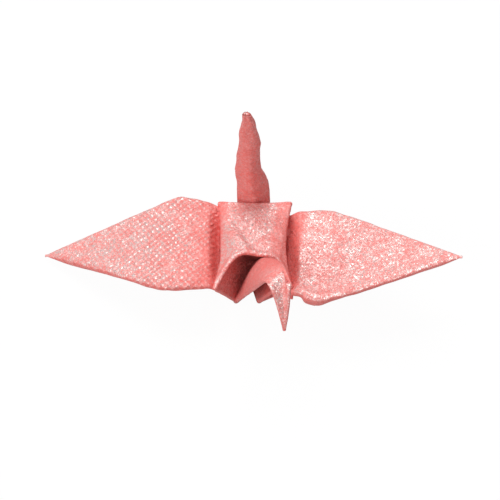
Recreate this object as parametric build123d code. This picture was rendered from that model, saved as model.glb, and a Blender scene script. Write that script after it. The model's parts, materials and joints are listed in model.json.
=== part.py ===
from build123d import *
import itertools
import math
import os

# Origami crane folded from one square sheet.
# Frame: +X to the right wing tip, -Y to the head, +Y to the tail, +Z up.
# The origin is on the table, below the middle of the overall box.
# All sizes are in millimetres.

# The sheet and how it is folded
PAPER_SIDE = 75.0          # side of the square before folding
PLY = 0.24                 # one layer of the coated sheet
LAYER_GAP = 0.10           # air left between two layers that lie on each other
FOLD_BEAD = 0.95           # thickness of a soft rolled fold
FOLD_FLATS = 8             # flats round a rolled fold
KNUCKLE_SHARE = 0.60       # reach of a corner where folds meet, as a share of the fold's thickness
SLIT = 0.30                # gap where two raw edges meet on a centre line
LEG_ANGLE = 11.25          # half angle of the narrowed neck and tail, in degrees

# Body
TWIST = 7.0                # turn of the body against the line of the wings, in degrees
BODY_WIDTH = 12.4          # between the left and right shoulder ears
EAR_HEIGHT = 9.4           # height of the four ears, where the wings fold out
VALLEY_DEPTH = 4.6         # depth of the valley between a wing root and the back
KEEL_WIDTH = 4.2           # between the left and right keel corners
KEEL_LENGTH = 11.6         # between the front and back keel corners
KEEL_SHIFT = -1.2          # the keel lies this far to the left of the back
ARCH_RISE = 2.2            # rise of the bottom edge between the keel corners
CROWN_HEIGHT = 11.4        # height of the sheet's centre point
CROWN_FORWARD = 2.6        # how far the centre point lies in front of the middle

# Wings: slope of the root strip and of the long outer part, in degrees, up is positive
ROOT_REACH = 7.1           # from the body's middle to the line where a wing folds out
WING_SHIFT = -0.45         # place of the middle between the two wings along X
WING_SET_BACK = -0.8       # place of the wings' centre line along Y
LEFT_ROOT_SLOPE = -5.0
LEFT_SLOPE = -20.0
RIGHT_ROOT_SLOPE = -3.0
RIGHT_SLOPE = 10.6

# Neck and head: the ridge runs from the crotch to the bend, then to the beak
NECK_LENGTH = 25.0
NECK_RISE = 54.0           # angle above the table, in degrees
NECK_LEAN = 11.5           # lean towards the right wing, in degrees
FRONT_CROTCH = (0.0, 0.6, 3.9)
HEAD_LENGTH = 11.6
HEAD_FALL = 36.0           # angle below the level, in degrees
BEND_REACH = 3.2           # how far the open edges run past the ridge at the bend
BEND_LIFT = 1.0            # height of the open edges over the ridge at the bend
BEND_OPENING = 3.6         # between the two open edges at the bend
BEND_SHIFT = 1.0           # the open edges lie this far to the left of the ridge

# Tail
TAIL_LENGTH = 34.0
TAIL_RISE = 91.7           # angle above the table, in degrees; past 90 it leans forward
TAIL_LEAN = -2.4           # lean towards the left wing, in degrees
BACK_CROTCH = (-0.2, 9.3, 3.5)
TAIL_KNEE = 0.55           # share of the tail's length where it opens flatter
TAIL_TIP_WIDTH = 1.0
TAIL_FLARE = 35.0          # half angle of the tail's open channel, in degrees


def leg_width(distance):
    """Width of one side of a narrowed leg at this distance from its tip."""
    return distance * math.tan(math.radians(LEG_ANGLE))


# Points of the flat fold, measured up from the hinge of a wing
INRADIUS = PAPER_SIDE * (math.sqrt(2) - 1) / 2
WING_FROM_HINGE = PAPER_SIDE / 2
LEG_SLOPE = math.tan(math.radians(LEG_ANGLE))
EAR_LEVEL = (INRADIUS - WING_FROM_HINGE * LEG_SLOPE) / (1 + LEG_SLOPE)
EAR_HALF_CHORD = INRADIUS - EAR_LEVEL
SHOULDER_LEVEL = (INRADIUS - WING_FROM_HINGE * LEG_SLOPE) / (LEG_SLOPE + INRADIUS / WING_FROM_HINGE)
SHOULDER_HALF_CHORD = (WING_FROM_HINGE + SHOULDER_LEVEL) * LEG_SLOPE
FLAP_TIP_LEVEL = (INRADIUS * math.sin(math.radians(2 * LEG_ANGLE))
                  + WING_FROM_HINGE * math.cos(math.radians(2 * LEG_ANGLE)) - WING_FROM_HINGE)


def direction(rise, lean, facing):
    """Unit vector that rises above the table, leans along X and faces -Y or +Y."""
    up = math.sin(math.radians(rise))
    level = math.cos(math.radians(rise))
    side = math.sin(math.radians(lean))
    rest = math.cos(math.radians(lean))
    return Vector(side, facing * level * rest, up * rest).normalized()


def outline_normal(points):
    """Average normal of a closed outline that need not be flat."""
    total = Vector(0, 0, 0)
    for a, b in zip(points, points[1:] + points[:1]):
        total += a.cross(b)
    return total.normalized()


def closed_solid(outlines):
    """A solid with flat faces, from the outlines of its faces."""
    return Solid(Shell([Face(Wire.make_polygon(outline)) for outline in outlines]))


def layer(points, thickness=PLY):
    """One layer of the sheet: an outline, fanned from its first point, with the sheet's thickness."""
    normal = outline_normal(points)
    low = [p - normal * (thickness / 2) for p in points]
    high = [p + normal * (thickness / 2) for p in points]
    outlines = []
    for i in range(1, len(points) - 1):
        outlines.append([high[0], high[i], high[i + 1]])
        outlines.append([low[0], low[i + 1], low[i]])
    for i in range(len(points)):
        j = (i + 1) % len(points)
        outlines.append([low[i], low[j], high[j], high[i]])
    return closed_solid(outlines)


def fold(start, end, size=FOLD_BEAD):
    """A soft rolled fold between two points, with the thickness of its roll."""
    return Vector(*start), Vector(*end), size


def fold_chain(points, size=FOLD_BEAD):
    """Rolled folds along a row of points."""
    return [fold(a, b, size) for a, b in zip(points, points[1:])]


def bead(start, end, size):
    """The rod of a rolled fold, with the flats that a finger leaves on it."""
    axis = end - start
    turns = [math.radians(360 * k / FOLD_FLATS) for k in range(FOLD_FLATS)]
    corners = [Vector(math.cos(turn), math.sin(turn), 0) * (size / 2) for turn in turns]
    section = Plane(origin=start, z_dir=axis.normalized()) * Face(Wire.make_polygon(corners))
    return Solid.extrude(section, axis)


def knuckle(point, size):
    """The blunt corner where rolled folds meet: a small twenty-sided knob."""
    golden = (1 + math.sqrt(5)) / 2
    reach = size * KNUCKLE_SHARE / math.sqrt(1 + golden * golden)
    corners = []
    for a in (-reach, reach):
        for b in (-reach * golden, reach * golden):
            corners += [Vector(0, a, b), Vector(a, b, 0), Vector(b, 0, a)]
    outlines = []
    for a, b, c in itertools.combinations(corners, 3):
        if max((a - b).length, (b - c).length, (a - c).length) < 2.1 * reach:
            outward = (b - a).cross(c - a).dot(a) > 0
            outlines.append([point + p for p in ((a, b, c) if outward else (a, c, b))])
    return closed_solid(outlines)


def between(a, b, share):
    """The point that lies at this share of the way from a to b."""
    return a + (b - a) * share


def to_body(point):
    """Turn a point from the wings' frame into the body's frame."""
    return point.rotate(Axis.Z, -TWIST)


def wing_line(side, root_slope, slope):
    """Middle, front and back points of a wing at its root, its shoulder and its tip."""
    centre = Vector(side * ROOT_REACH + WING_SHIFT, WING_SET_BACK, EAR_HEIGHT)
    steps = ((0.0, 0.0, EAR_HALF_CHORD),
             (SHOULDER_LEVEL - EAR_LEVEL, root_slope, SHOULDER_HALF_CHORD),
             (WING_FROM_HINGE - SHOULDER_LEVEL, slope, 0.0))
    stations = []
    for length, angle, half_chord in steps:
        slant = math.radians(angle)
        centre = centre + Vector(side * length * math.cos(slant), 0, length * math.sin(slant))
        chord = Vector(0, half_chord, 0)
        stations.append((to_body(centre), to_body(centre - chord), to_body(centre + chord)))
    return stations


WINGS = {-1: wing_line(-1, LEFT_ROOT_SLOPE, LEFT_SLOPE), 1: wing_line(1, RIGHT_ROOT_SLOPE, RIGHT_SLOPE)}
UNDER = Vector(0, 0, -(PLY + LAYER_GAP))
EARS = {(sx, sy): Vector(sx * BODY_WIDTH / 2, sy * EAR_HALF_CHORD, EAR_HEIGHT)
        for sx in (-1, 1) for sy in (-1, 1)}
KEELS = {(sx, sy): Vector(KEEL_SHIFT + sx * KEEL_WIDTH / 2, sy * KEEL_LENGTH / 2, FOLD_BEAD / 2)
         for sx in (-1, 1) for sy in (-1, 1)}
CROWN = Vector(0.3, -CROWN_FORWARD, CROWN_HEIGHT)
FRONT = Vector(*FRONT_CROTCH)
REAR = Vector(*BACK_CROTCH)


def wing(side):
    """One wing: a clean top layer over two under layers that meet at a slit."""
    (root, root_f, root_b), (knee, knee_f, knee_b), (tip, _, _) = WINGS[side]
    chord = (root_b - root_f).normalized()
    flap_share = (EAR_LEVEL - FLAP_TIP_LEVEL) / (SHOULDER_LEVEL - FLAP_TIP_LEVEL)
    layers = [layer([root_f, root_b, knee_b, knee_f]), layer([knee_f, knee_b, tip])]
    for sign, root_e, knee_e in ((-1, root_f, knee_f), (1, root_b, knee_b)):
        beside = UNDER + chord * (sign * SLIT / 2)
        layers.append(layer([root_e + UNDER, root + beside, knee + beside, knee_e + UNDER]))
        layers.append(layer([knee_e + UNDER, knee + beside, tip + beside]))
        flap_corner = root + chord * (sign * SHOULDER_HALF_CHORD * flap_share)
        layers.append(layer([root_e + UNDER * 2, flap_corner + UNDER * 2, knee_e + UNDER * 2]))
    edge = [p + UNDER * 0.5 for p in (root_f, knee_f, tip, knee_b, root_b)]
    return layers, fold_chain(edge + edge[:1])


def body_wall(side):
    """The outer wall under a wing, folded in at the valley to carry the back."""
    root_f, root_b = [p + UNDER * 0.5 for p in WINGS[side][0][1:]]
    ear_f, ear_b = EARS[(side, -1)], EARS[(side, 1)]
    keel_f, keel_b = KEELS[(side, -1)], KEELS[(side, 1)]
    arch = between(keel_f, keel_b, 0.5) + Vector(0, 0, ARCH_RISE)
    share = VALLEY_DEPTH / EAR_HEIGHT
    valley_f, valley_b = between(ear_f, keel_f, share), between(ear_b, keel_b, share)
    layers = [layer([root_f, root_b, valley_b, valley_f]),
              layer([valley_f, valley_b, ear_b, ear_f]),
              layer([arch, keel_f, valley_f, valley_b, keel_b], PLY * 2 + LAYER_GAP)]
    folds = fold_chain([root_f, valley_f, keel_f, arch, keel_b, valley_b, root_b])
    folds += [fold(valley_f, valley_b), fold(ear_f, ear_b), fold(ear_f, valley_f), fold(ear_b, valley_b)]
    return layers, folds


def back():
    """The crane's back: a soft roof over the hollow body, with a pocket in front."""
    rear_left, rear_right = EARS[(-1, 1)], EARS[(1, 1)]
    layers = [layer([CROWN, rear_left, rear_right]), layer([rear_left, rear_right, REAR])]
    folds = [fold(rear_left, rear_right), fold(CROWN, FRONT, PLY * 2)]
    for side in (-1, 1):
        ear_f, ear_b = EARS[(side, -1)], EARS[(side, 1)]
        layers += [layer([CROWN, ear_f, ear_b]), layer([CROWN, ear_f, FRONT]),
                   layer([ear_f, KEELS[(side, -1)], FRONT]), layer([ear_b, KEELS[(side, 1)], REAR])]
        folds += [fold(CROWN, ear_f), fold(CROWN, ear_b, PLY * 2)]
    return layers, folds


def neck_and_head():
    """The front leg: an open channel up to the bend, folded down to the beak."""
    bend = FRONT + direction(NECK_RISE, NECK_LEAN, -1) * NECK_LENGTH
    beak = bend + direction(-HEAD_FALL, 0, -1) * HEAD_LENGTH
    pressed = PLY * 2 + LAYER_GAP
    layers = []
    folds = fold_chain([FRONT, bend, beak])
    for side in (-1, 1):
        lip = bend + Vector(side * BEND_OPENING / 2 - BEND_SHIFT, -BEND_REACH, BEND_LIFT)
        keel = KEELS[(side, -1)]
        layers += [layer([FRONT, bend, lip, keel], pressed), layer([bend, beak, lip], pressed)]
        folds += fold_chain([FRONT, keel, lip, beak]) + [fold(bend, lip)]
    return layers, folds


def tail():
    """The back leg: a channel that flattens towards its blunt tip."""
    tip = REAR + direction(TAIL_RISE, TAIL_LEAN, 1) * TAIL_LENGTH
    middle = between(REAR, tip, TAIL_KNEE)
    pressed = PLY * 2 + LAYER_GAP
    flare = math.radians(TAIL_FLARE)
    side_width = leg_width(TAIL_LENGTH * (1 - TAIL_KNEE))
    layers = []
    folds = fold_chain([REAR, middle, tip])
    for side in (-1, 1):
        edge = middle + Vector(side * math.cos(flare), math.sin(flare), 0) * side_width
        end = tip + Vector(side * TAIL_TIP_WIDTH / 2, TAIL_TIP_WIDTH / 2, 0)
        keel = KEELS[(side, 1)]
        layers += [layer([REAR, middle, edge, keel], pressed), layer([middle, tip, end, edge], pressed)]
        folds += fold_chain([REAR, keel, edge, end, tip])
    return layers, folds


def rolled(folds, done_points, done_folds):
    """Rods and blunt corners of these folds, each made only once for the whole sheet."""
    solids = []
    for start, end, size in folds:
        ends = [tuple(round(c, 4) for c in (p.X, p.Y, p.Z)) for p in (start, end)]
        if frozenset(ends) in done_folds:
            continue
        done_folds.add(frozenset(ends))
        solids.append(bead(start, end, size))
        for key, point in zip(ends, (start, end)):
            if key not in done_points:
                done_points.add(key)
                solids.append(knuckle(point, FOLD_BEAD))
    return solids


def folded_sheet():
    """The whole sheet as one solid, with its origin on the table below its middle."""
    done_points = set()
    done_folds = set()
    whole = None
    for layers, folds in (wing(-1), body_wall(-1), wing(1), body_wall(1), back(), neck_and_head(), tail()):
        solids = layers + rolled(folds, done_points, done_folds)
        group = solids[0].fuse(*solids[1:])
        whole = group if whole is None else whole.fuse(group)
    sheet = whole.solids().sort_by(SortBy.VOLUME)[-1].rotate(Axis.Z, TWIST)
    print("solids:", len(whole.solids()), "volume:", round(sheet.volume, 1))
    box = sheet.bounding_box()
    crown = CROWN.rotate(Axis.Z, TWIST) - Vector(box.center().X, box.center().Y, box.min.Z)
    print("thread point at the crown:", crown, "box:", box.size)
    return sheet.moved(Location((-box.center().X, -box.center().Y, -box.min.Z)))


os.makedirs("parts", exist_ok=True)
export_step(folded_sheet(), "parts/folded_sheet.step")
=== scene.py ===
"""Folded paper crane: one sheet of pearly coral paper, and a plain studio to see it in."""

import json
import math
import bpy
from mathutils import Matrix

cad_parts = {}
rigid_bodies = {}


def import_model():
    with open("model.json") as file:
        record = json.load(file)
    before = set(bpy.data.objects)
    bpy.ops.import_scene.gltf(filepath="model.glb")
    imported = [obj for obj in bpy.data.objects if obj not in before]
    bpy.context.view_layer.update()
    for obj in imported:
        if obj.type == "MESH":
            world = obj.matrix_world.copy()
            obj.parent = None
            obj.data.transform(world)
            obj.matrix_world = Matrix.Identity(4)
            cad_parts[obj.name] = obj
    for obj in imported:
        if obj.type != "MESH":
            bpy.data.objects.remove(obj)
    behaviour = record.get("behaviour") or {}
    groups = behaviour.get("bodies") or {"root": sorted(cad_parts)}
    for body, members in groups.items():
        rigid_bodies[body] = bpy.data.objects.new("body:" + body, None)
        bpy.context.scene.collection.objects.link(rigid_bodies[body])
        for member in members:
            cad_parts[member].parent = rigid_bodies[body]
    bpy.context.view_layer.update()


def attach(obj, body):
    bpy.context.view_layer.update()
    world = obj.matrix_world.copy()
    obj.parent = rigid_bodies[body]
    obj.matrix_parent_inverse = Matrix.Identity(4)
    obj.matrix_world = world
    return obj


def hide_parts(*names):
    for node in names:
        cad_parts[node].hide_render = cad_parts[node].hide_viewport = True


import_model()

from types import SimpleNamespace

import bmesh
import bpy
import numpy as np
from bpy.props import FloatProperty, FloatVectorProperty, IntProperty, PointerProperty
from mathutils import Matrix, Vector

bl_info = {
    "name": "Folded Paper Crane",
    "version": (1, 0, 0),
    "blender": (4, 5, 0),
    "location": "View3D > Sidebar > Crane",
    "description": "Builds a crane folded from one square of pearly paper",
    "category": "Add Mesh",
}

# ---------------------------------------------------------------- sizes and colours


class CraneSizes(bpy.types.PropertyGroup):
    """The sheet and the shape that it is folded to."""

    paper_side: FloatProperty(name="Paper side", description="Side of the square sheet",
                              default=0.075, unit="LENGTH")
    roll: FloatProperty(name="Rolled edge", description="Thickness of a wing at its soft folded edges",
                        default=0.0016, unit="LENGTH")
    middle: FloatProperty(name="Wing middle", description="Thickness of a wing between its edges",
                          default=0.0008, unit="LENGTH")
    leg_angle: FloatProperty(name="Leg half angle", description="Half angle of the narrowed neck and tail",
                             default=math.radians(11.25), subtype="ANGLE")
    twist: FloatProperty(name="Body twist", description="Turn of the body against the line of the wings",
                         default=math.radians(7.0), subtype="ANGLE")
    body_width: FloatProperty(name="Body width", description="Width of the back between its ears",
                              default=0.0124, unit="LENGTH")
    ear_height: FloatProperty(name="Ear height", description="Height at which the wings fold out",
                              default=0.0094, unit="LENGTH")
    neck_length: FloatProperty(name="Neck length", description="Ridge of the neck, up to the bend",
                               default=0.025, unit="LENGTH")
    head_length: FloatProperty(name="Head length", description="Ridge of the head, from bend to beak",
                               default=0.0112, unit="LENGTH")
    tail_length: FloatProperty(name="Tail length", description="Ridge of the tail",
                               default=0.034, unit="LENGTH")
    body_place: FloatVectorProperty(name="Body place", description="Where the middle of the body stands",
                                    default=(-0.000084, 0.005903, 0.000188), subtype="XYZ", size=3)


class CranePaper(bpy.types.PropertyGroup):
    """Colours and surface of the paper."""

    coral: FloatVectorProperty(name="Coral", description="Colour of the paper between its flakes",
                               default=(0.88, 0.175, 0.150), subtype="COLOR", size=3, min=0.0, max=1.0)
    # Deep coral is mixed into the ground colour everywhere; the emboss's hollows take more of it, a painted
    # shade of the bumps.
    deep: FloatVectorProperty(name="Deep coral", description="Colour in the hollows of the emboss",
                              default=(0.76, 0.080, 0.068), subtype="COLOR", size=3, min=0.0, max=1.0)
    pearl: FloatVectorProperty(name="Pearl", description="Colour of the pearly flakes",
                               default=(0.94, 0.72, 0.69), subtype="COLOR", size=3, min=0.0, max=1.0)
    emboss_pitch: FloatProperty(name="Emboss pitch", description="Distance between rows of the emboss",
                                default=0.00092, unit="LENGTH")
    emboss_depth: FloatProperty(name="Emboss depth", description="Height of the emboss",
                                default=0.00006, unit="LENGTH")
    wrinkle_depth: FloatProperty(name="Wrinkle depth", description="Height of the soft wrinkles",
                                 default=0.00011, unit="LENGTH")
    wrinkle_size: FloatProperty(name="Wrinkle size", description="Distance between soft wrinkles",
                                default=0.0035, unit="LENGTH")
    seed: IntProperty(name="Seed", description="Changes the chance pattern of wrinkles and flakes", default=3)


class CraneStudio(bpy.types.PropertyGroup):
    """Floor, lamps and camera."""

    azimuth: FloatProperty(name="Azimuth", description="Turn of the camera round the crane",
                           default=math.radians(7.0), subtype="ANGLE")
    elevation: FloatProperty(name="Elevation", description="Height of the camera above the level",
                             default=math.radians(56.0), subtype="ANGLE")
    lens: FloatProperty(name="Lens", description="Focal length in millimetres", default=400.0)
    width_in_view: FloatProperty(name="Width in view", description="Width that fills the picture",
                                 default=0.0873, unit="LENGTH")
    aim: FloatVectorProperty(name="Aim", description="Point in the middle of the picture",
                             default=(-0.00095, 0.0058, 0.00816), subtype="XYZ", size=3)
    floor: FloatVectorProperty(name="Floor", description="Colour of the floor",
                               default=(0.60, 0.60, 0.60), subtype="COLOR", size=3, min=0.0, max=1.0)


MM = 0.001

# ---------------------------------------------------------------- the folded form, in millimetres

# Frame of the body: +X to the right wing, -Y to the head, +Z up. Angles are in degrees: a rise is
# above the level, and a lean is towards the right wing. A side is -1 on the left and 1 on the right.

ROOT_REACH = 7.1                     # from the body's middle to the line where a wing folds out
WING_SHIFT = -0.95                   # place of the middle between the two wings along X
WING_SET_BACK = -0.8                 # place of the wings' centre line along Y
LEFT_EAR_SAG = (-0.8, 0.1, -0.3)     # how far the left front ear has moved out of its even place
KEEL_HALF_WIDTH = 2.1
KEEL_HALF_LENGTH = 5.6
KEEL_SHIFT = -1.2                    # place of the middle between the two keels along X
KEEL_HEIGHT = 0.55                   # of the middle of a keel's rolled fold
ARCH_RISE = 2.2                      # rise of the bottom edge between the keel corners
CROWN = (0.4, -2.9, 11.0)            # the sheet's centre point
FRONT_CROTCH = (0.0, 0.6, 3.9)
BACK_CROTCH = (-0.2, 9.3, 3.5)
NECK_LEAN = 11.5
NECK_RISE = 54.0
NECK_ARCH = (0, 0.3, 1.5)            # how far the neck's ridge swells out between crotch and bend
HEAD_FALL = 36.0                     # below the level
HEAD_BOW = (0.25, 0, 0.35)           # how far the head bows out between bend and beak
BEND_HALF_OPENING = 1.8              # half the distance between the open edges at the bend
BEND_SHIFT = -1.0                    # place of the middle between the open edges, from the ridge
BEND_REACH = 3.2                     # how far the open edges run past the ridge
BEND_LIFT = 1.0                      # height of the open edges over the ridge
TAIL_LEAN = -2.4
TAIL_RISE = 91.7                     # past 90, it leans forward
ROLLED_LIP = {                       # points of the back's front edge, between an ear and the crown
    -1: ((-5.9, -6.4, 9.6), (-4.7, -4.5, 10.5), (-3.2, -2.9, 11.4), (-1.3, -2.6, 11.5)),
    1: ((4.2, -3.6, 10.4), (2.2, -2.9, 10.9)),
}


def point(x, y, z):
    """A point of the body's frame."""
    return np.array((x, y, z), float)


def between(a, b, share):
    """The point that lies at this share of the way from a to b."""
    return a + (b - a) * share


def turned(points, angle):
    """Points turned about the upright axis."""
    c, s = math.cos(angle), math.sin(angle)
    return points @ np.array(((c, s, 0), (-s, c, 0), (0, 0, 1)))


def unit(v):
    """The vector at unit length."""
    return v / max(float(np.linalg.norm(v)), 1e-9)


class Form:
    """Key points of the crane, worked out from the sheet and the named sizes."""

    def __init__(self, sizes):
        side = sizes.paper_side / MM
        slope = math.tan(sizes.leg_angle)
        inradius = side * (math.sqrt(2) - 1) / 2
        self.half = side / 2
        self.slope = slope
        self.ear_level = (inradius - self.half * slope) / (1 + slope)
        self.ear_chord = inradius - self.ear_level
        self.knee_level = (inradius - self.half * slope) / (slope + inradius / self.half)
        self.knee_chord = (self.half + self.knee_level) * slope
        double = 2 * sizes.leg_angle
        self.flap_level = inradius * math.sin(double) + self.half * math.cos(double) - self.half
        self.twist = sizes.twist
        self.ear_z = sizes.ear_height / MM
        width = sizes.body_width / MM / 2
        corners = [(sx, sy) for sx in (-1, 1) for sy in (-1, 1)]
        self.ear = {(sx, sy): point(sx * width, sy * self.ear_chord, self.ear_z) for sx, sy in corners}
        self.ear[(-1, -1)] += point(*LEFT_EAR_SAG)
        self.keel = {(sx, sy): point(KEEL_SHIFT + sx * KEEL_HALF_WIDTH, sy * KEEL_HALF_LENGTH, KEEL_HEIGHT)
                     for sx, sy in corners}
        self.crown, self.front, self.rear = point(*CROWN), point(*FRONT_CROTCH), point(*BACK_CROTCH)
        lean, rise = math.radians(NECK_LEAN), math.radians(NECK_RISE)
        along = unit(point(math.sin(lean), -math.cos(rise) * math.cos(lean), math.sin(rise) * math.cos(lean)))
        self.bend = self.front + along * sizes.neck_length / MM
        fall = math.radians(HEAD_FALL)
        self.beak = self.bend + point(0, -math.cos(fall), -math.sin(fall)) * sizes.head_length / MM
        self.lip = {sx: self.bend + point(sx * BEND_HALF_OPENING + BEND_SHIFT, -BEND_REACH, BEND_LIFT)
                    for sx in (-1, 1)}
        lean, rise = math.radians(TAIL_LEAN), math.radians(TAIL_RISE)
        self.tail_along = unit(point(math.sin(lean), math.cos(rise), math.sin(rise)))
        self.tail_length = sizes.tail_length / MM

    def lip_path(self, side):
        """The rolled front edge of the back, from an ear to the crown."""
        return [self.ear[(side, -1)], *(point(*spot) for spot in ROLLED_LIP[side]), self.crown]


# ---------------------------------------------------------------- mesh helpers


class Shell:
    """Vertices and faces of one closed skin, gathered before it becomes a mesh."""

    def __init__(self):
        self.points = []
        self.faces = []

    def add(self, points, faces):
        """Add points, and faces that number those points from 0."""
        start = sum(len(p) for p in self.points)
        self.points.append(np.asarray(points, float))
        self.faces += [tuple(i + start for i in face) for face in faces]

    def mesh(self, name):
        """A Blender mesh in millimetres, with its faces pointing outwards."""
        mesh = bpy.data.meshes.new(name)
        mesh.from_pydata([tuple(p) for p in np.concatenate(self.points)], [], self.faces)
        work = bmesh.new()
        work.from_mesh(mesh)
        bmesh.ops.remove_doubles(work, verts=work.verts, dist=1e-6)
        bmesh.ops.recalc_face_normals(work, faces=work.faces)
        work.to_mesh(mesh)
        work.free()
        return mesh


def loft(loops):
    """Faces of a skin through closed loops, each of the same count, with both ends closed."""
    rows, count = len(loops), len(loops[0])
    points = np.concatenate(list(loops) + [[np.mean(loops[0], axis=0)], [np.mean(loops[-1], axis=0)]])
    faces = []
    for r in range(rows - 1):
        for i in range(count):
            j = (i + 1) % count
            faces.append((r * count + i, r * count + j, (r + 1) * count + j, (r + 1) * count + i))
    first, last = rows * count, rows * count + 1
    for i in range(count):
        j = (i + 1) % count
        faces.append((first, j, i))
        faces.append((last, (rows - 1) * count + i, (rows - 1) * count + j))
    return points, faces


def smooth_step(low, high, x):
    """0 below low, 1 above high, and an even curve between."""
    t = np.clip((x - low) / (high - low), 0.0, 1.0)
    return t * t * (3 - 2 * t)


def ripple(x, phase, *waves):
    """A chance-looking curve: a few sine waves, each with its length and height."""
    total = np.zeros_like(np.asarray(x, float))
    for k, (length, height) in enumerate(waves):
        total = total + height * np.sin(2 * math.pi * np.asarray(x) / length + phase * (k + 1.7))
    return total


# ---------------------------------------------------------------- wings


# Slopes of the root strip and the outer part in degrees, where the root ends along X, and the
# swells of the front edge: where along the wing, how far to each side, and how much each adds.
WING_LOOK = {
    -1: {"root_slope": -4.0, "slope": -20.0, "root": -7.5, "phase": 0.4,
         "swell": ((24.0, 5.5, 0.9), (9.0, 4.0, 0.25))},
    1: {"root_slope": -3.0, "slope": 10.6, "root": 7.16, "phase": 2.1,
        "swell": ((5.0, 2.6, 1.2), (28.5, 3.0, 0.5))},
}
WING_ROWS = 112
WING_ACROSS = 72
WING_START = -1.5          # the first row, from the line where the wing folds out
TIP_GAP = 0.02             # the last row stops this far from the corner of the sheet
KNEE_SOFTNESS = 1.6        # half the length over which the slope changes
CHORD_SOFTNESS = 0.5       # rounds the wing's outline at its widest place
LEAST_CHORD = 0.22         # half the width of the tip
ABOVE_SHARE = 0.62         # shares of the half thickness above and below the wing's middle
BELOW_SHARE = 1.38
FRONT_ROUNDING = 1.7       # how much wider the front edge is rounded above
SETTLING = 1.1             # length over which a rolled edge falls to the middle's thickness
ROOT_BLEND = 4.5           # length over which the root is drawn to the edge of the back
ROOT_DIP = 2.6             # how deep the root dips into the valley
SLIT_WIDTH = 0.22
SLIT_DEPTH = 0.35
SLIT_RUN_OUT = 3.0         # length over which the slit closes at the tip
FLAP_STEP = 0.20           # height of a flap's edge under the wing
FLAP_END = 0.5             # the flaps end this far past the root strip


def wing_chord(form, away):
    """Half chord of a wing at this distance from the line where it folds out."""
    strip = form.knee_level - form.ear_level
    outer = form.half - form.knee_level
    inner = form.ear_chord + (form.knee_chord - form.ear_chord) * away / strip
    tapered = form.knee_chord * (1 - (away - strip) / outer)
    return 0.5 * (inner + tapered - np.sqrt((inner - tapered) ** 2 + CHORD_SOFTNESS))


def wing_rows(form, look):
    """Each row's distance from the line where the wing folds out, its reach sideways and its rise."""
    strip = form.knee_level - form.ear_level
    full = form.half - form.ear_level
    steps = np.linspace(0, 1, WING_ROWS)
    away = WING_START + (full - WING_START) * (1 - (1 - steps) ** 1.12)
    away[-1] = full - TIP_GAP
    slope = np.radians(look["root_slope"] + (look["slope"] - look["root_slope"])
                       * smooth_step(strip - KNEE_SOFTNESS, strip + KNEE_SOFTNESS, away))
    step = np.gradient(away)
    reach = np.cumsum(np.cos(slope) * step)
    rise = np.cumsum(np.sin(slope) * step)
    root = np.argmin(abs(away))
    return away, reach - reach[root], rise - rise[root]


def slit_and_flap(form, away, chord, share, inset):
    """How far the slit rises into the lower face of a wing's row, and how far the flaps stand off it."""
    slit = SLIT_DEPTH * np.exp(-((share * chord) / SLIT_WIDTH) ** 2)
    slit = np.clip((form.half - form.ear_level - away) / SLIT_RUN_OUT, 0, 1) * slit
    if away >= form.knee_level - form.ear_level + FLAP_END:
        return slit, 0.0
    flap_edge = form.knee_chord * (away + form.ear_level - form.flap_level) / (
        form.knee_level - form.flap_level)
    flap = FLAP_STEP * smooth_step(flap_edge - 0.12, flap_edge + 0.12, abs(share) * chord)
    return slit, flap * smooth_step(0.0, 0.6, inset)


def wing_loop(form, sizes, side, away, reach, rise):
    """One row of a wing as a closed loop: above from front to back, then below to the front."""
    look = WING_LOOK[side]
    edge = np.linspace(-1, 1, WING_ACROSS)
    across = np.sign(edge) * (1 - (1 - abs(edge)) ** 1.25)
    chord = max(float(wing_chord(form, away)), LEAST_CHORD)
    front_swell = sum(size * math.exp(-((away - place) / width) ** 2) for place, width, size in look["swell"])
    halves = []
    for above, share in ((1, across), (-1, across[::-1])):
        wave = 1 + ripple(away, look["phase"] * above, (7.3, 0.006), (3.1, 0.004))
        y = share * chord * wave
        swell = 1 + front_swell * np.clip(-share, 0, 1) ** 3
        radius = np.minimum(sizes.roll / MM / 2 * swell, chord * 0.7)
        flat = np.minimum(sizes.middle / MM / 2, radius)
        inset = chord * (1 - abs(share))
        width = radius * np.where((share < 0) & (above == 1), FRONT_ROUNDING, 1.0)
        rounded = np.sqrt(np.clip(1 - (1 - np.clip(inset / width, 0, 1)) ** 2, 0, 1))
        height = (flat + (radius - flat) * np.exp(-np.clip(inset - radius, 0, None) / SETTLING)) * rounded
        if above == 1:
            z = height * ABOVE_SHARE
        else:
            slit, flap = slit_and_flap(form, away, chord, share, inset)
            z = -height * BELOW_SHARE + slit - flap
        x = np.full_like(y, side * (ROOT_REACH + reach) + WING_SHIFT)
        sag = ripple(y + away * 0.3, look["phase"], (23.0, 0.16), (11.0, 0.07)) * min(chord / 6, 1)
        halves.append(np.stack([x, y + WING_SET_BACK, form.ear_z + rise + z + sag], axis=1))
    return np.concatenate([halves[0], halves[1][1:-1]])


def wing_shell(form, sizes, side):
    """A wing as a flat sleeve: clean above, with a slit and two flaps below."""
    look = WING_LOOK[side]
    away, reach, rise = wing_rows(form, look)
    loops = [wing_loop(form, sizes, side, *row) for row in zip(away, reach, rise)]
    points, faces = loft(loops)
    points = turned(points, -form.twist)
    out = np.concatenate([np.repeat(away, len(loops[0])), [away[0], away[-1]]])
    fold_line = (side * ROOT_REACH + WING_SHIFT) * math.cos(form.twist) + points[:, 1] * math.sin(form.twist)
    points[:, 0] += (look["root"] - fold_line) * (1 - smooth_step(0.0, ROOT_BLEND, out))
    end = np.clip(abs(points[:, 1] - WING_SET_BACK) / form.ear_chord, 0, 1)
    points[:, 2] -= ROOT_DIP * (1 - smooth_step(-1.6, 0.9, out)) * (1 - 0.75 * end ** 4)
    shell = Shell()
    shell.add(points, faces)
    return shell


# ---------------------------------------------------------------- neck, head and tail


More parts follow.
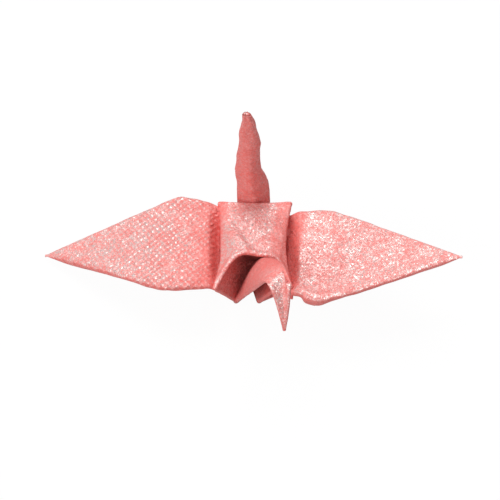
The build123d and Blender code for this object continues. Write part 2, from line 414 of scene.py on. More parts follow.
def channel_loop(left, ridge, right, roll, middle, bulge, count=40):
    """Closed loop round an open channel: two folded sides that meet at a ridge."""
    u = np.linspace(-1, 1, count)
    root = np.sqrt(u * u + 0.006)
    curve = ridge + np.outer((root - u) / 2, left - ridge) + np.outer((root + u) / 2, right - ridge)
    across = unit(right - left)
    outward = ridge - (left + right) / 2
    outward = unit(outward - across * outward.dot(across))
    tangent = np.gradient(curve, axis=0)
    tx, ty = tangent @ across, tangent @ outward
    size = np.maximum(np.hypot(tx, ty), 1e-9)
    normal = np.outer(-ty / size, across) + np.outer(tx / size, outward)
    curve = curve + normal * (bulge * np.sin(math.pi * abs(u)))[:, None]
    width = float(np.linalg.norm(left - right)) / 2 + 0.3
    inset = (1 - abs(u)) * width
    thick = middle + (roll - middle) * np.exp(-inset / 0.6)
    outer = curve + normal * thick[:, None]
    inner = curve - normal * thick[:, None]
    cap = []
    for angle in (-60, -30, 0, 30, 60):
        turn = math.radians(angle)
        direction = unit(tangent[-1])
        cap.append(curve[-1] + direction * roll * math.cos(turn) - normal[-1] * roll * math.sin(turn))
    other = []
    for angle in (60, 30, 0, -30, -60):
        turn = math.radians(angle)
        direction = -unit(tangent[0])
        other.append(curve[0] + direction * roll * math.cos(turn) - normal[0] * roll * math.sin(turn))
    return np.concatenate([outer, cap, inner[::-1], other])


def eased(rows, reach):
    """A run of points with its corners rounded off; both ends stay where they are."""
    rows = np.array(rows, float)
    for _ in range(reach):
        rows[1:-1] = (rows[:-2] + 2 * rows[1:-1] + rows[2:]) / 4
    return rows


def neck_and_head_shell(form):
    """An open channel that narrows up the neck, turns over at the bend and ends at the beak."""
    rows, rolls, bulges = [], [], []
    for s in np.linspace(-0.02, 1.0, 90):
        wave = float(ripple(s * 25, 1.3, (6.0, 0.08), (3.7, 0.04)))
        swell = math.sin(math.pi * max(s, 0))
        rows.append((between(form.keel[(-1, -1)], form.lip[-1], s) + point(wave, 0, 0),
                     between(form.front, form.bend, s) + point(*NECK_ARCH) * swell,
                     between(form.keel[(1, -1)], form.lip[1], s) - point(wave * 0.7, 0, 0)))
        rolls.append(0.50 - 0.08 * s)
        bulges.append(0.75 * swell + 0.1)
    for s in np.linspace(0.02, 0.985, 64):
        bow = point(*HEAD_BOW) * math.sin(math.pi * s)
        left = between(form.lip[-1], form.beak, s) + bow
        right = between(form.lip[1], form.beak, s) + bow
        flatter = 0.75 * float(smooth_step(0.0, 0.4, np.array(s)))
        ridge = between(between(form.bend, form.beak, s) + bow, (left + right) / 2, flatter)
        rows.append((left, ridge, right))
        rolls.append(0.42 - 0.16 * s)
        bulges.append(0.1 - 0.2 * s)
    lefts, ridges, rights = (eased(line, 160) for line in zip(*rows))
    loops = [channel_loop(*row, 0.32, bulge) for *row, bulge in zip(lefts, ridges, rights, rolls, bulges)]
    shell = Shell()
    shell.add(*loft(loops))
    return shell


# Half widths of the tail's left and right side, and the side shift of its ridge, by the
# distance from its tip: the open channel flattens and curls a little as it rises.
TAIL_STATIONS = (
    (0.0, 0.15, 0.35, 0.0),
    (2.5, 0.30, 1.00, 0.1),
    (5.8, 0.90, 1.35, 0.2),
    (10.7, 1.25, 1.80, 0.3),
    (15.3, 1.80, 1.40, 0.1),
    (19.9, 2.30, 1.55, 0.0),
    (24.5, 2.25, 2.55, 0.1),
    (28.7, 2.15, 2.95, 0.2),
    (34.0, 2.30, 2.60, 0.2),
)

TAIL_DEPTH = 0.45          # depth of the channel, as a share of what the fold would give
TAIL_END_ROLL = 0.34       # radius of the open edges at the tip
TAIL_ROLL = 0.42           # and along the rest of the tail


def tail_shell(form):
    """The tail, a channel with its ridge towards the front of the crane and its open side behind."""
    away, left_w, right_w, shift = (np.array(column) for column in zip(*TAIL_STATIONS))
    loops = []
    for s in np.linspace(0.0, 0.985, 150):
        distance = form.tail_length * (1 - s)
        ridge = form.rear + form.tail_along * form.tail_length * s
        to_keel = 0.4 * float(smooth_step(24.0, 34.0, np.array(distance)))
        x_left = np.interp(distance, away, left_w) + ripple(distance, 0.9, (7.1, 0.05), (3.9, 0.02))
        x_right = np.interp(distance, away, right_w) + ripple(distance, 2.9, (6.3, 0.05), (3.7, 0.02))
        depth = TAIL_DEPTH * distance * form.slope
        left = between(ridge + point(-x_left, depth, 0), form.keel[(-1, 1)], to_keel)
        right = between(ridge + point(x_right, depth, 0), form.keel[(1, 1)], to_keel)
        curl = point(0, 0.25 * math.exp(-distance / 1.5), 0)
        wave = ripple(distance, 1.1, (6.7, 0.16), (3.3, 0.08))
        ridge = ridge + point(np.interp(distance, away, shift), wave, 0)
        roll_radius = TAIL_ROLL if s < 0.98 else TAIL_END_ROLL
        loops.append(channel_loop(left + curl, ridge + curl, right + curl, roll_radius, 0.34, 0.18))
    shell = Shell()
    shell.add(*loft(loops))
    return shell


# ---------------------------------------------------------------- body


def pillow(shell, corners, thickness, puff=0.0, count=14):
    """One facet of the sheet, with its thickness and a soft swell in its middle."""
    a, b, c = corners
    normal = unit(np.cross(b - a, c - a))
    index = {}
    top = []
    for i in range(count + 1):
        for j in range(count + 1 - i):
            u, v = i / count, j / count
            w = 1 - u - v
            index[(i, j)] = len(top)
            top.append(a * w + b * u + c * v + normal * puff * 27 * u * v * w)
    top = np.array(top)
    half = normal * thickness / 2
    size = len(top)
    faces = []
    for i in range(count):
        for j in range(count - i):
            first = (index[(i, j)], index[(i + 1, j)], index[(i, j + 1)])
            faces.append(first)
            faces.append(tuple(k + size for k in reversed(first)))
            if i + j < count - 1:
                second = (index[(i + 1, j)], index[(i + 1, j + 1)], index[(i, j + 1)])
                faces.append(second)
                faces.append(tuple(k + size for k in reversed(second)))
    rim = [index[(i, 0)] for i in range(count)]
    rim += [index[(count - j, j)] for j in range(count)]
    rim += [index[(0, count - i)] for i in range(count)]
    for k, first in enumerate(rim):
        second = rim[(k + 1) % len(rim)]
        faces.append((second, first, first + size, second + size))
    shell.add(np.concatenate([top + half, top - half]), faces)


def roll(shell, path, radius, sides=12):
    """A soft rolled fold along a smooth path."""
    path = np.array(path, float)
    stops = np.concatenate([[0], np.cumsum(np.linalg.norm(np.diff(path, axis=0), axis=1))])
    places = np.linspace(0, stops[-1], 36)
    curve = eased(np.stack([np.interp(places, stops, path[:, k]) for k in range(3)], axis=1), 24)
    tangents = np.gradient(curve, axis=0)
    helper = point(0, 0, 1) if abs(unit(tangents[0])[2]) < 0.9 else point(0, 1, 0)
    loops = []
    stations = [(0, -0.9, 0.35), (0, -0.6, 0.8)] + [(k, 0.0, 1.0) for k in range(len(curve))]
    stations += [(len(curve) - 1, 0.6, 0.8), (len(curve) - 1, 0.9, 0.35)]
    for k, slide, share in stations:
        direction = unit(tangents[k])
        one = unit(np.cross(direction, helper))
        two = np.cross(direction, one)
        centre = curve[k] + direction * slide * radius
        turns = np.linspace(0, 2 * math.pi, sides, endpoint=False)
        loops.append(centre + radius * share * (np.outer(np.cos(turns), one) + np.outer(np.sin(turns), two)))
    shell.add(*loft(loops))


WALL = 0.5                 # thickness of a facet
KEEL_WALL = 0.75           # and of the facets over the keel
BACK_THICKNESS = 0.55
BACK_PUFF = 0.55           # how far the middle of the back swells
FOLD_RADIUS = 0.45
WAIST_RADIUS = 0.36
LIP_RADIUS = 0.52
BODY_VOXEL = 0.24          # grid on which the facets grow together into one skin
CROTCH_RADIUS = 0.40
VALLEY_SHARE = 0.49        # place of the valley's floor between ear and keel


def side_points(form, side):
    """Corners of the facets on one side of the body; f is the front one and b the back one."""
    ear_f, ear_b = form.ear[(side, -1)], form.ear[(side, 1)]
    keel_f, keel_b = form.keel[(side, -1)], form.keel[(side, 1)]
    reach, level = side * ROOT_REACH + WING_SHIFT, form.ear_z - ROOT_DIP
    root_f = turned(point(reach, WING_SET_BACK - form.ear_chord, level), -form.twist)
    root_b = turned(point(reach, WING_SET_BACK + form.ear_chord, level), -form.twist)
    root_f[0] = root_b[0] = WING_LOOK[side]["root"] - side * 0.5
    root_f[1] += 0.6
    return SimpleNamespace(
        ear_f=ear_f, ear_b=ear_b, keel_f=keel_f, keel_b=keel_b, root_f=root_f, root_b=root_b,
        arch=between(keel_f, keel_b, 0.5) + point(0, 0, ARCH_RISE),
        valley_f=between(ear_f, keel_f, VALLEY_SHARE),
        valley_b=between(ear_b, keel_b, VALLEY_SHARE),
        waist_f=between(ear_f, ear_b, 0.35) + point(-side * 1.15, 0, 0.15),
        waist_b=between(ear_f, ear_b, 0.70) + point(-side * 0.95, 0, 0.15))


def side_facets(shell, form, lip, at):
    """The facets of one side: the back and its lip, both ends, the valley and the keel's wall."""
    for corners in ((at.ear_f, lip[1], at.waist_f), (lip[1], at.waist_b, at.waist_f),
                    (lip[1], at.ear_b, at.waist_b)):
        pillow(shell, corners, WALL, 0, 10)
    for k in range(len(lip) - 1):
        if k:
            pillow(shell, (lip[k], lip[k + 1], at.ear_b), WALL, 0, 10)
        pillow(shell, (lip[k], lip[k + 1], form.front), WALL, 0, 8)
    for corners in ((at.ear_f, at.keel_f, form.front), (at.ear_b, at.keel_b, form.rear),
                    (at.root_f, at.root_b, at.valley_b), (at.root_f, at.valley_b, at.valley_f),
                    (at.valley_f, at.waist_f, at.ear_f), (at.valley_f, at.valley_b, at.waist_f),
                    (at.valley_b, at.waist_b, at.waist_f), (at.valley_b, at.ear_b, at.waist_b)):
        pillow(shell, corners, WALL)
    for corners in ((at.arch, at.keel_f, at.valley_f), (at.arch, at.valley_f, at.valley_b),
                    (at.arch, at.valley_b, at.keel_b)):
        pillow(shell, corners, KEEL_WALL)


def side_folds(shell, form, lip, at):
    """The rolled folds of one side."""
    roll(shell, (at.ear_f, at.waist_f, at.waist_b, at.ear_b), WAIST_RADIUS)
    roll(shell, lip, LIP_RADIUS)
    for path in ((at.ear_f, at.valley_f), (at.valley_f, at.keel_f), (at.ear_b, at.valley_b),
                 (at.valley_b, at.keel_b), (at.valley_f, at.valley_b), (at.keel_f, at.arch),
                 (at.arch, at.keel_b)):
        roll(shell, path, FOLD_RADIUS)
    for path in ((at.keel_f, form.front), (at.keel_b, form.rear)):
        roll(shell, path, CROTCH_RADIUS)


def body_shell(form):
    """The hollow body: walls, rolled folds, puffed back and the pocket under the crown."""
    shell = Shell()
    left, right = form.ear[(-1, 1)], form.ear[(1, 1)]
    pillow(shell, (form.crown, right, left), BACK_THICKNESS, BACK_PUFF)
    pillow(shell, (form.rear, right, left), WALL)
    roll(shell, (left, between(left, right, 0.6) + point(0, -0.45, 0.1), right), FOLD_RADIUS)
    for side in (-1, 1):
        lip, at = form.lip_path(side), side_points(form, side)
        side_facets(shell, form, lip, at)
        side_folds(shell, form, lip, at)
    return shell


# ---------------------------------------------------------------- surface of the paper


def node(tree, kind, **values):
    """A node of this kind, with some of its own settings and unlinked inputs set."""
    made = tree.nodes.new(kind)
    for name, value in values.items():
        if name in made.bl_rna.properties:
            setattr(made, name, value)
        else:
            made.inputs[name.replace("_", " ")].default_value = value
    return made


def link(tree, source, target):
    """Join two sockets."""
    tree.links.new(source, target)


def maths(tree, operation, first, second=None, third=None, clamp=False):
    """A Math node; each operand is a socket or a number."""
    made = tree.nodes.new("ShaderNodeMath")
    made.operation = operation
    made.use_clamp = clamp
    for slot, value in enumerate((first, second, third)):
        if value is None:
            continue
        if hasattr(value, "is_linked"):
            link(tree, value, made.inputs[slot])
        else:
            made.inputs[slot].default_value = value
    return made.outputs[0]


def noise(tree, place, **values):
    """A chance pattern over this place."""
    made = node(tree, "ShaderNodeTexNoise", **values)
    link(tree, place, made.inputs["Vector"])
    return made.outputs[0]


def ramp(tree, value, low, high, start=0.0, end=1.0, smooth=True):
    """A number that runs from start to end while the value runs from low to high."""
    made = node(tree, "ShaderNodeMapRange", interpolation_type="SMOOTHSTEP" if smooth else "LINEAR")
    link(tree, value, made.inputs["Value"])
    for name, number in (("From Min", low), ("From Max", high), ("To Min", start), ("To Max", end)):
        made.inputs[name].default_value = number
    return made.outputs[0]


def surface_tree():
    """Geometry nodes that press wrinkles into the sheet, store how far each point faces up, and give it its
    material.
    """
    tree = bpy.data.node_groups.new("paper_surface", "GeometryNodeTree")
    face = tree.interface
    face.new_socket("Geometry", in_out="INPUT", socket_type="NodeSocketGeometry")
    for name, value in (("Wrinkle Depth", 0.1), ("Wrinkle Size", 3.0), ("Seed", 1.0)):
        socket = face.new_socket(name, in_out="INPUT", socket_type="NodeSocketFloat")
        socket.default_value = value
    face.new_socket("Material", in_out="INPUT", socket_type="NodeSocketMaterial")
    face.new_socket("Geometry", in_out="OUTPUT", socket_type="NodeSocketGeometry")
    given = tree.nodes.new("NodeGroupInput")
    result = tree.nodes.new("NodeGroupOutput")
    place = tree.nodes.new("GeometryNodeInputPosition")
    normal = tree.nodes.new("GeometryNodeInputNormal")

    def chance(scale, detail, roughness=0.5):
        made = node(tree, "ShaderNodeTexNoise", noise_dimensions="4D", Detail=detail, Roughness=roughness)
        link(tree, place.outputs[0], made.inputs["Vector"])
        link(tree, given.outputs["Seed"], made.inputs["W"])
        link(tree, scale, made.inputs["Scale"])
        return maths(tree, "SUBTRACT", made.outputs[0], 0.5)

    per_wrinkle = maths(tree, "DIVIDE", 1.0, given.outputs["Wrinkle Size"])
    soft = maths(tree, "MULTIPLY", chance(per_wrinkle, 2.0), given.outputs["Wrinkle Depth"])
    sharp = chance(maths(tree, "MULTIPLY", per_wrinkle, 1.9), 1.5)
    ridge = maths(tree, "SUBTRACT", 0.12, maths(tree, "ABSOLUTE", sharp))
    crease = maths(tree, "MULTIPLY", maths(tree, "MAXIMUM", ridge, 0.0), given.outputs["Wrinkle Depth"])

    height = maths(tree, "ADD", soft, crease)
    push = node(tree, "ShaderNodeVectorMath", operation="SCALE")
    link(tree, normal.outputs[0], push.inputs[0])
    link(tree, height, push.inputs["Scale"])
    move = tree.nodes.new("GeometryNodeSetPosition")
    link(tree, given.outputs["Geometry"], move.inputs["Geometry"])
    link(tree, push.outputs[0], move.inputs["Offset"])
    facing = tree.nodes.new("ShaderNodeSeparateXYZ")
    link(tree, normal.outputs[0], facing.inputs[0])
    # How far each point faces up; the material uses it for painted sheen on what faces up and for the
    # pocket's painted shade.
    keep = node(tree, "GeometryNodeStoreNamedAttribute", data_type="FLOAT", domain="POINT", Name="upward")
    link(tree, move.outputs[0], keep.inputs["Geometry"])
    link(tree, facing.outputs["Z"], keep.inputs["Value"])
    shade = node(tree, "GeometryNodeSetShadeSmooth")
    link(tree, keep.outputs[0], shade.inputs["Geometry"])
    real = tree.nodes.new("GeometryNodeRealizeInstances")
    link(tree, shade.outputs[0], real.inputs[0])
    paint = tree.nodes.new("GeometryNodeSetMaterial")
    link(tree, real.outputs[0], paint.inputs["Geometry"])
    link(tree, given.outputs["Material"], paint.inputs["Material"])
    link(tree, paint.outputs[0], result.inputs[0])
    return tree


def set_input(modifier, name, value):
    """Set a modifier's input by the identifier of its socket."""
    for item in modifier.node_group.interface.items_tree:
        if item.item_type == "SOCKET" and item.in_out == "INPUT" and item.name == name:
            modifier[item.identifier] = value
            return
    raise KeyError(name)


def shader_group(name, inputs, outputs):
    """An empty shader node group with these named sockets."""
    tree = bpy.data.node_groups.new(name, "ShaderNodeTree")
    for label, kind, value in inputs:
        socket = tree.interface.new_socket(label, in_out="INPUT", socket_type=kind)
        socket.default_value = value
    for label, kind in outputs:
        tree.interface.new_socket(label, in_out="OUTPUT", socket_type=kind)
    return tree, tree.nodes.new("NodeGroupInput"), tree.nodes.new("NodeGroupOutput")


def flake_group():
    """Pearly flakes: a mask of the flakes that show, and a chance tilt for each one."""
    tree, given, result = shader_group(
        "pearl_flakes",
        [("Vector", "NodeSocketVector", (0, 0, 0)), ("Flake Size", "NodeSocketFloat", 0.0002),
         ("Cover", "NodeSocketFloat", 0.5)],
        [("Mask", "NodeSocketFloat"), ("Tone", "NodeSocketFloat"), ("Tilt", "NodeSocketVector")])
    cells = node(tree, "ShaderNodeTexVoronoi", feature="F1")
    link(tree, given.outputs["Vector"], cells.inputs["Vector"])
    link(tree, maths(tree, "DIVIDE", 1.0, given.outputs["Flake Size"]), cells.inputs["Scale"])
    apart = tree.nodes.new("ShaderNodeSeparateColor")
    link(tree, cells.outputs["Color"], apart.inputs[0])
    inside = maths(tree, "GREATER_THAN", given.outputs["Cover"], apart.outputs[0])
    link(tree, inside, result.inputs["Mask"])
    link(tree, apart.outputs[1], result.inputs["Tone"])
    centre = node(tree, "ShaderNodeVectorMath", operation="SUBTRACT")
    link(tree, cells.outputs["Color"], centre.inputs[0])
    centre.inputs[1].default_value = (0.5, 0.5, 0.5)
    link(tree, centre.outputs[0], result.inputs["Tilt"])
    return tree


# How much of the emboss and of the pearly coat's colour shows: place along X in metres, share. The coat's
# dips towards and in the valleys at the wing roots, and on the right of the back, are painted shade.
EMBOSS_LEFT = ((-0.037, 0.15), (-0.026, 0.35), (-0.018, 0.80), (-0.0085, 1.0), (-0.0060, 0.15), (0.037, 0.15))
COAT_SHARE_AND_SHADE = ((-0.037, 0.85), (-0.024, 0.95), (-0.015, 0.75), (-0.0095, 0.45), (-0.0072, 0.25),
             (-0.0055, 0.95), (0.0, 1.0), (0.003, 0.55), (0.0055, 0.35), (0.0072, 0.30), (0.0085, 0.85),
             (0.037, 0.80))
PROFILE_SPAN = 0.08        # the two profiles run this far along X, half to each side
HEAD_SHEEN = 1.35           # painted sheen: the head and neck, in front of the back, take this share of the coat's colour
VEIL = 0.36                # share of the pearl colour between the flakes

# The pocket under the front of the back gets a painted shade on the faces that look inwards: its middle, how
# far the full shade reaches, and where it ends, in metres.
POCKET = (-0.0010, 0.0036, 0.0062)
POCKET_CORE = 0.0025
POCKET_REACH = 0.0068
POCKET_DARKNESS = 0.85


def profile(tree, x, steps):
    """A curve over X in metres that passes through these steps."""
    curve = node(tree, "ShaderNodeFloatCurve")
    points = curve.mapping.curves[0].points
    for _ in range(len(steps) - 2):
        points.new(0.5, 0.5)
    for spot, (place, share) in zip(points, steps):
        spot.location = ((place + PROFILE_SPAN / 2) / PROFILE_SPAN, share)
    curve.mapping.update()
    link(tree, maths(tree, "MULTIPLY_ADD", x, 1 / PROFILE_SPAN, 0.5), curve.inputs["Value"])
    return curve.outputs[0]


def emboss_group():
    """Rows of small pressed bumps on the slant, fading in and out over the sheet."""
    tree, given, result = shader_group(
        "pressed_emboss",
        [("Vector", "NodeSocketVector", (0, 0, 0)), ("Pitch", "NodeSocketFloat", 0.0008)],
        [("Height", "NodeSocketFloat")])
    place = given.outputs["Vector"]
    apart = tree.nodes.new("ShaderNodeSeparateXYZ")
    link(tree, place, apart.inputs[0])
    turns = maths(tree, "DIVIDE", math.sqrt(2) * math.pi, given.outputs["Pitch"])
    level = maths(tree, "ADD", apart.outputs["Y"], maths(tree, "MULTIPLY", apart.outputs["Z"], 0.6))
    wobble = maths(tree, "MULTIPLY", noise(tree, place, Scale=260.0, Detail=1.0), 5.0)
    one = maths(tree, "ADD", maths(tree, "MULTIPLY", apart.outputs["X"], turns), wobble)
    two = maths(tree, "SUBTRACT", maths(tree, "MULTIPLY", level, turns), wobble)
    dots = maths(tree, "MULTIPLY", maths(tree, "SINE", one), maths(tree, "SINE", two))
    rows = maths(tree, "MAXIMUM", dots, -0.25)
    worn = ramp(tree, noise(tree, place, Scale=150.0, Detail=1.0), 0.30, 0.50, smooth=False)
    left = profile(tree, apart.outputs["X"], EMBOSS_LEFT)
    height = maths(tree, "MULTIPLY", maths(tree, "MULTIPLY", rows, worn), left)
    link(tree, height, result.inputs["Height"])
    return tree


def painted_light_group():
    """Masks over the sheet: how much of the coat's colour shows, with painted shade in the valleys beside the
    back and painted sheen on the head, and where the pocket gets a painted shade.
    """
    tree, given, result = shader_group(
        "painted_light_masks", [("Vector", "NodeSocketVector", (0, 0, 0))],
        [("Left", "NodeSocketFloat"), ("PocketShade", "NodeSocketFloat")])
    apart = tree.nodes.new("ShaderNodeSeparateXYZ")
    link(tree, given.outputs["Vector"], apart.inputs[0])
    # Painted sheen: the neck and head take more of the coat's colour.
    ahead = ramp(tree, apart.outputs["Y"], -0.0010, -0.0080, end=HEAD_SHEEN)
    left = maths(tree, "MAXIMUM", profile(tree, apart.outputs["X"], COAT_SHARE_AND_SHADE), ahead)
    link(tree, left, result.inputs["Left"])
    away = node(tree, "ShaderNodeVectorMath", operation="DISTANCE")
    link(tree, given.outputs["Vector"], away.inputs[0])
    away.inputs[1].default_value = POCKET
    link(tree, ramp(tree, away.outputs["Value"], POCKET_REACH, POCKET_CORE), result.inputs["PocketShade"])
    return tree


def placed_group(tree, maker, name, place, **values):
    """A shader group in a material, built on its first use."""
    made = tree.nodes.new("ShaderNodeGroup")
    made.node_tree = bpy.data.node_groups.get(name) or maker()
    link(tree, place, made.inputs["Vector"])
    for label, value in values.items():
        made.inputs[label.replace("_", " ")].default_value = value
    return made


def mixed(tree, share, first, second):
    """Two colours mixed by the share of the second; each is a socket or a colour."""
    made = node(tree, "ShaderNodeMix", data_type="RGBA")
    link(tree, share, made.inputs["Factor"])
    for name, value in (("A", first), ("B", second)):
        if hasattr(value, "is_linked"):
            link(tree, value, made.inputs[name])
        else:
            made.inputs[name].default_value = (*value, 1)
    return made.outputs["Result"]


def coat_and_painted_sheen(tree, place, flakes, left, upward, raised):
    """How much of the pearly coat shows: flakes and a thin veil, most on what faces up, which is a painted
    sheen.
    """
    chance = noise(tree, place, Scale=520.0, Detail=4.0, Roughness=0.6)
    blotch = ramp(tree, chance, 0.35, 0.60, start=0.55, smooth=False)
    fine, coarse = (maths(tree, "MULTIPLY", made.outputs["Mask"], made.outputs["Tone"]) for made in flakes)
    shown = maths(tree, "MULTIPLY", maths(tree, "MAXIMUM", fine, coarse), blotch)
    # The share by place carries painted shade in the valleys beside the back and painted sheen on the head.
    shown = maths(tree, "MULTIPLY", shown, left)
    veil = maths(tree, "MULTIPLY", maths(tree, "MULTIPLY", blotch, VEIL), left)
    # Painted sheen: faces that look up take up to all of the coat's colour, faces that look sideways or down
    # far less.
    facing = ramp(tree, upward, 0.35, 0.97, start=0.30)
    shown = maths(tree, "MULTIPLY", maths(tree, "ADD", shown, veil), facing, clamp=True)
    # Painted highlight: the emboss's raised rows take more of the coat, its hollows less.
    return maths(tree, "MULTIPLY", shown, maths(tree, "MULTIPLY_ADD", raised, 1.3, 0.2), clamp=True)


def paper_normal(tree, place, emboss, fine, depth):
    """Normal of the surface: grain, crackle, the emboss and the chance tilt of each fine flake."""
    grain = noise(tree, place, Scale=1100.0, Detail=4.0, Roughness=0.65)
    crackle = noise(tree, place, Scale=640.0, Detail=4.0, Roughness=0.65, Distortion=0.6)
    height = maths(tree, "ADD", grain, maths(tree, "MULTIPLY", crackle, 2.2))
    height = maths(tree, "ADD", height, maths(tree, "MULTIPLY", emboss, 1.4))
    bump = node(tree, "ShaderNodeBump", Strength=1.0, Distance=depth * 1.6)
    link(tree, height, bump.inputs["Height"])
    tilt = node(tree, "ShaderNodeVectorMath", operation="SCALE")
    link(tree, fine.outputs["Tilt"], tilt.inputs[0])
    link(tree, maths(tree, "MULTIPLY", fine.outputs["Mask"], 0.8), tilt.inputs["Scale"])
    added = node(tree, "ShaderNodeVectorMath", operation="ADD")
    link(tree, bump.outputs[0], added.inputs[0])
    link(tree, tilt.outputs[0], added.inputs[1])
    ready = node(tree, "ShaderNodeVectorMath", operation="NORMALIZE")
    link(tree, added.outputs[0], ready.inputs[0])
    return ready.outputs[0]


def paper_material(paper):
    """Coral paper under a coat of pearly flakes."""
    material = bpy.data.materials.new("pearl_paper_surface")
    material.use_nodes = True
    tree = material.node_tree
    shader = tree.nodes["Principled BSDF"]
    place = tree.nodes.new("ShaderNodeTexCoord").outputs["Object"]
    upward = node(tree, "ShaderNodeAttribute", attribute_name="upward").outputs["Fac"]
    fine = placed_group(tree, flake_group, "pearl_flakes", place, Flake_Size=0.00019, Cover=0.62)
    coarse = placed_group(tree, flake_group, "pearl_flakes", place, Flake_Size=0.00033, Cover=0.30)
    painted_light = placed_group(tree, painted_light_group, "painted_light_masks", place)
    pressed = placed_group(tree, emboss_group, "pressed_emboss", place, Pitch=paper.emboss_pitch)
    emboss = pressed.outputs["Height"]

    # Painted shade and highlight of the emboss: its hollows lean to deep coral, its raised rows to coral, and
    # they take more of the pearl below.
    raised = maths(tree, "MULTIPLY_ADD", emboss, 0.75, 0.55, clamp=True)
    ground = mixed(tree, raised, paper.deep, paper.coral)
    shown = coat_and_painted_sheen(tree, place, (fine, coarse), painted_light.outputs["Left"], upward, raised)
    coated = mixed(tree, shown, ground, paper.pearl)
    # Painted shade: inside the pocket, faces that look down or inwards are darkened towards a dark coral.
    inward = ramp(tree, upward, 0.30, -0.30)
    painted_pocket_shade = maths(tree, "MULTIPLY", maths(tree, "MULTIPLY", painted_light.outputs["PocketShade"], inward), POCKET_DARKNESS)
    pocket_shade_colour = [channel * 0.25 for channel in paper.deep]
    link(tree, mixed(tree, painted_pocket_shade, coated, pocket_shade_colour), shader.inputs["Base Color"])

    link(tree, paper_normal(tree, place, emboss, fine, paper.emboss_depth), shader.inputs["Normal"])
    # Metallic and roughness follow the coat's share, so the painted sheen on faces that look up shows here
    # too.
    link(tree, maths(tree, "MULTIPLY", shown, 0.55), shader.inputs["Metallic"])
    shine = maths(tree, "SUBTRACT", 0.60, maths(tree, "MULTIPLY", shown, 0.30))
    link(tree, shine, shader.inputs["Roughness"])
    shader.inputs["Specular IOR Level"].default_value = 0.55
    return material


# ---------------------------------------------------------------- operators


def add_part(context, name, shell):
    """Put a shell into the scene as one folded region, still in millimetres."""
    part = bpy.data.objects.new(name, shell.mesh(name))
    context.scene.collection.objects.link(part)
    return part


def evaluated(context, thing):
    """A plain mesh of the object with its modifiers carried out."""
    context.view_layer.update()
    graph = context.evaluated_depsgraph_get()
    return bpy.data.meshes.new_from_object(thing.evaluated_get(graph), depsgraph=graph)


class CRANE_OT_wings(bpy.types.Operator):
    """Fold the two wings"""

    bl_idname = "crane.wings"
    bl_label = "Wings"

    def execute(self, context):
        sizes = context.scene.crane_sizes
        form = Form(sizes)
        for side, name in ((-1, "fold_left_wing"), (1, "fold_right_wing")):
            add_part(context, name, wing_shell(form, sizes, side))
        return {"FINISHED"}


class CRANE_OT_legs(bpy.types.Operator):
    """Fold the neck, the head and the tail"""

    bl_idname = "crane.legs"
    bl_label = "Neck, head and tail"

    def execute(self, context):
        form = Form(context.scene.crane_sizes)
        add_part(context, "fold_neck_and_head", neck_and_head_shell(form))
        add_part(context, "fold_tail", tail_shell(form))
        return {"FINISHED"}


class CRANE_OT_body(bpy.types.Operator):
    """Fold the body and blend its facets into one soft skin"""

    bl_idname = "crane.body"
    bl_label = "Body"

    def execute(self, context):
        form = Form(context.scene.crane_sizes)
        body = add_part(context, "fold_body", body_shell(form))
        remesh = body.modifiers.new("one_skin", "REMESH")
        remesh.mode = "VOXEL"
        remesh.voxel_size = BODY_VOXEL
        soften = body.modifiers.new("soften", "SMOOTH")
        soften.factor = 0.5
        soften.iterations = 4
        mesh = evaluated(context, body)
        body.modifiers.clear()
        body.data = mesh
        return {"FINISHED"}


class CRANE_OT_sheet(bpy.types.Operator):
    """Join the folds into one sheet, emboss it and give it its paper"""

    bl_idname = "crane.sheet"
    bl_label = "Paper sheet"

    def execute(self, context):
        sizes, paper = context.scene.crane_sizes, context.scene.crane_paper
        folds = [thing for thing in context.scene.objects if thing.name.startswith("fold_")]
        if not folds:
            raise RuntimeError("fold the wings, neck and body first")
        work = bmesh.new()
        for fold in folds:
            work.from_mesh(fold.data)
        mesh = bpy.data.meshes.new("paper_crane")
        work.to_mesh(mesh)
        work.free()
        for fold in folds:
            bpy.data.objects.remove(fold)
        crane = bpy.data.objects.new("paper_crane", mesh)
        context.scene.collection.objects.link(crane)
        press = crane.modifiers.new("surface", "NODES")
        press.node_group = surface_tree()
        set_input(press, "Wrinkle Depth", paper.wrinkle_depth / MM)
        set_input(press, "Wrinkle Size", paper.wrinkle_size / MM)
        set_input(press, "Seed", float(paper.seed))
        set_input(press, "Material", paper_material(paper))
        mesh = evaluated(context, crane)
        crane.modifiers.clear()
        crane.data = mesh
        mesh.transform(Matrix.Rotation(sizes.twist, 4, "Z"))
        mesh.transform(Matrix.Scale(MM, 4))
        mesh.transform(Matrix.Translation(Vector(sizes.body_place)))
        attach(crane, "root")
        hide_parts("folded_sheet")
        return {"FINISHED"}


FLOOR_REACH = 3.0          # from the middle to each side, in metres
FLOOR_GLOW = 1.03          # brightness of the floor as the camera sees it
FLOOR_WHITE = 0.93         # share of that glow; the rest takes the shadow
ROOM_LIGHT = 0.36          # strength of the white room, which the camera sees at full strength
LAMPS = (                  # name, place and side in metres, power in watts
    ("top_softbox", (-0.08, 0.30, 0.52), 0.42, 2.6),
    ("front_fill", (-0.35, -0.45, 0.45), 0.40, 2.5),
)


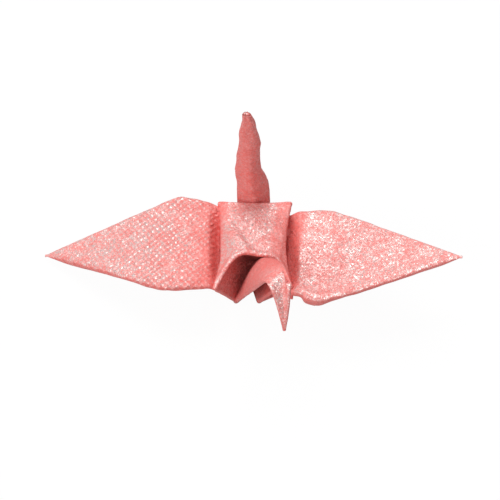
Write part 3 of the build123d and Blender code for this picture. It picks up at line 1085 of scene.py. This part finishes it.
def floor_material(colour):
    """A plain floor that looks white to the camera and still takes the shadow."""
    material = bpy.data.materials.new("floor_white")
    material.use_nodes = True
    tree = material.node_tree
    shader = tree.nodes["Principled BSDF"]
    shader.inputs["Base Color"].default_value = (*colour, 1)
    shader.inputs["Roughness"].default_value = 0.9
    glow = node(tree, "ShaderNodeEmission", Color=(1, 1, 1, 1), Strength=FLOOR_GLOW)
    rays = tree.nodes.new("ShaderNodeLightPath")
    mix = tree.nodes.new("ShaderNodeMixShader")
    seen = maths(tree, "MULTIPLY", rays.outputs["Is Camera Ray"], FLOOR_WHITE)
    link(tree, seen, mix.inputs["Fac"])
    link(tree, shader.outputs[0], mix.inputs[1])
    link(tree, glow.outputs[0], mix.inputs[2])
    link(tree, mix.outputs[0], tree.nodes["Material Output"].inputs["Surface"])
    return material


def white_floor(colour):
    """The floor, one large square."""
    mesh = bpy.data.meshes.new("floor")
    corners = [(x * FLOOR_REACH, y * FLOOR_REACH, 0) for x, y in ((-1, -1), (1, -1), (1, 1), (-1, 1))]
    mesh.from_pydata(corners, [], [(0, 1, 2, 3)])
    mesh.materials.append(floor_material(colour))
    return bpy.data.objects.new("floor", mesh)


def lamp(name, location, size, power, aim):
    """A soft square lamp that faces the crane."""
    data = bpy.data.lights.new(name, "AREA")
    data.size = size
    data.energy = power
    made = bpy.data.objects.new(name, data)
    made.location = location
    made.rotation_euler = (aim - Vector(location)).to_track_quat("-Z", "Y").to_euler()
    return made


def white_room():
    """A world that lights the crane softly from all sides and looks white to the camera."""
    world = bpy.data.worlds.new("studio")
    world.use_nodes = True
    tree = world.node_tree
    backdrop = tree.nodes["Background"]
    backdrop.inputs["Color"].default_value = (1, 1, 1, 1)
    rays = tree.nodes.new("ShaderNodeLightPath")
    strength = maths(tree, "MULTIPLY_ADD", rays.outputs["Is Camera Ray"], 1 - ROOM_LIGHT, ROOM_LIGHT)
    link(tree, strength, backdrop.inputs["Strength"])
    return world


def camera_at(studio, aim):
    """The camera, far enough away for its lens to take in the width in view."""
    az, el = studio.azimuth, studio.elevation
    back = Vector((math.sin(az) * math.cos(el), -math.cos(az) * math.cos(el), math.sin(el)))
    data = bpy.data.cameras.new("camera")
    data.lens = studio.lens
    data.clip_start = 0.01
    distance = studio.width_in_view * studio.lens / data.sensor_width
    camera = bpy.data.objects.new("camera", data)
    camera.location = aim + back * distance
    camera.rotation_euler = back.to_track_quat("Z", "Y").to_euler()
    return camera


class CRANE_OT_stage(bpy.types.Operator):
    """Set the floor, the lamps and the camera"""

    bl_idname = "crane.stage"
    bl_label = "Studio"

    def execute(self, context):
        studio, scene = context.scene.crane_studio, context.scene
        aim = Vector(studio.aim)
        floor = white_floor(studio.floor)
        scene.collection.objects.link(floor)
        for name, place, side, power in LAMPS:
            scene.collection.objects.link(lamp(name, place, side, power, aim))
        scene.world = white_room()
        scene.camera = camera_at(studio, aim)
        scene.collection.objects.link(scene.camera)
        scene.view_settings.view_transform = "Standard"
        return {"FINISHED"}


class CRANE_PT_panel(bpy.types.Panel):
    """Buttons for each fold and for the studio"""

    bl_idname = "CRANE_PT_panel"
    bl_label = "Paper Crane"
    bl_space_type = "VIEW_3D"
    bl_region_type = "UI"
    bl_category = "Crane"

    def draw(self, context):
        for operator in STEPS:
            self.layout.operator(operator.bl_idname)


STEPS = (CRANE_OT_stage, CRANE_OT_wings, CRANE_OT_legs, CRANE_OT_body, CRANE_OT_sheet)
GROUPS = (("crane_sizes", CraneSizes), ("crane_paper", CranePaper), ("crane_studio", CraneStudio))


def register():
    """Make the sizes, the operators and the panel known to Blender."""
    for name, group in GROUPS:
        bpy.utils.register_class(group)
        setattr(bpy.types.Scene, name, PointerProperty(type=group))
    for made in STEPS + (CRANE_PT_panel,):
        bpy.utils.register_class(made)


def unregister():
    """Take the panel, the operators and the sizes away again."""
    for made in reversed(STEPS + (CRANE_PT_panel,)):
        bpy.utils.unregister_class(made)
    for name, group in reversed(GROUPS):
        delattr(bpy.types.Scene, name)
        bpy.utils.unregister_class(group)


def main():
    """Build the studio and the crane."""
    register()
    bpy.ops.crane.stage()
    bpy.ops.crane.wings()
    bpy.ops.crane.legs()
    bpy.ops.crane.body()
    bpy.ops.crane.sheet()


if __name__ == "__main__":
    main()
